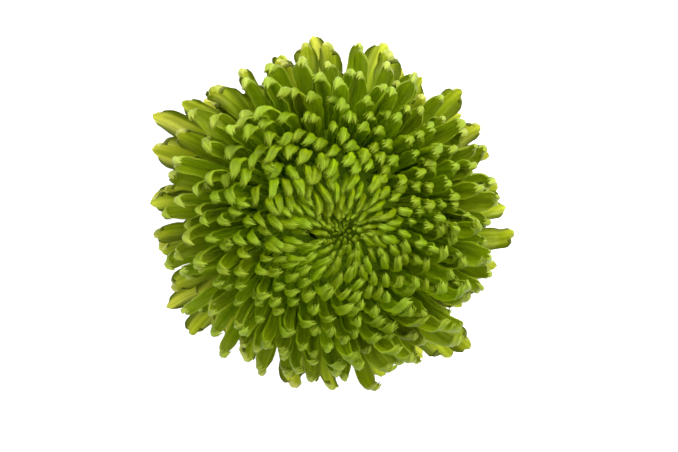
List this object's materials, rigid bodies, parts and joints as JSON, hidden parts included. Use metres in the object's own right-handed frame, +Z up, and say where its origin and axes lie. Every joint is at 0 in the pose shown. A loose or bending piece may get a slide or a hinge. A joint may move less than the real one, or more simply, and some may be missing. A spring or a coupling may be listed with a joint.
{
  "type": "football mum chrysanthemum head",
  "caption": "Cut head of an incurved chrysanthemum lying face up: a dense globe of narrow green florets hooked inwards, over a cup of bracts and a short stub of stalk.",
  "frame": {"origin": "on the surface that the head lies on, under the middle of the outline that it has from above", "axes": "+Z up out of the heart of the flower, away from its stalk; +Y towards the top of the picture, +X towards its right"},
  "size_m": [0.121, 0.1193, 0.0594],
  "materials": {
    "florets": "satin",
    "bracts": "matte",
    "stalk": "matte"
  },
  "bodies": {
    "root": {"bloom": "florets", "involucre": "bracts", "stalk": "stalk"}
  },
  "joints": []
}
